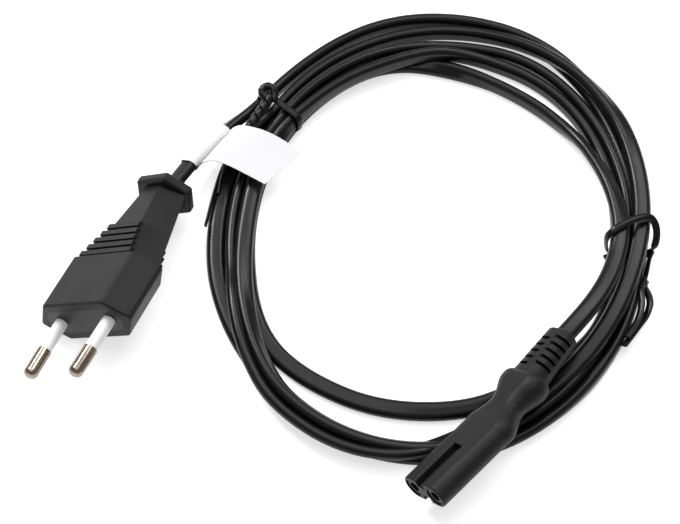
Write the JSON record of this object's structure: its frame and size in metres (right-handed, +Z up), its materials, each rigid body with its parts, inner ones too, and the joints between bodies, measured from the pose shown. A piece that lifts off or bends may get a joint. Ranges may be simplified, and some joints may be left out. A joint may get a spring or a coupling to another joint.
{
  "type": "figure eight power lead",
  "caption": "Mains lead wound in a loose coil: flat hexagonal plug with sleeved pins and ribbed neck, flat twin cord, and a figure-eight appliance connector with a slotted strain relief.",
  "frame": {"origin": "on the table top, under the middle of the box round the plug and the connector", "axes": "+Z up from the table; +X along the long side of the box round the plug and the connector, from the plug to the connector; +Y away from the picture's viewer"},
  "size_m": [0.1732, 0.165, 0.0261],
  "materials": {
    "moulding": "black moulded PVC with a fine matte grain",
    "bridge": "black moulded thermoplastic, plain",
    "nickel": "nickel-plated brass, polished",
    "sleeve": "white nylon, smooth",
    "core_brown": "brown PVC insulation",
    "core_blue": "blue PVC insulation",
    "copper": "bare copper strands",
    "carrier": "black moulded thermoplastic, plain",
    "brass": "rolled brass",
    "cord": "black flexible PVC with a satin sheen",
    "tie": "black plastic-covered wire",
    "paper": "white paper, blank"
  },
  "bodies": {
    "root": {"plug_body": "moulding", "pin_bridge": "bridge", "pin_left": "nickel", "pin_right": "nickel", "pin_sleeve_left": "sleeve", "pin_sleeve_right": "sleeve", "plug_core_left": "core_brown", "plug_core_right": "core_blue", "plug_wire_left": "copper", "plug_wire_right": "copper", "connector_body": "moulding", "contact_carrier": "carrier", "contact_left": "brass", "contact_right": "brass", "connector_core_left": "core_brown", "connector_core_right": "core_blue", "connector_wire_left": "copper", "connector_wire_right": "copper", "cord_plug_tail": "cord", "cord_coil": "cord", "cord_connector_tail": "cord", "twist_tie_left": "tie", "twist_tie_right": "tie", "cord_label": "paper"}
  },
  "joints": []
}
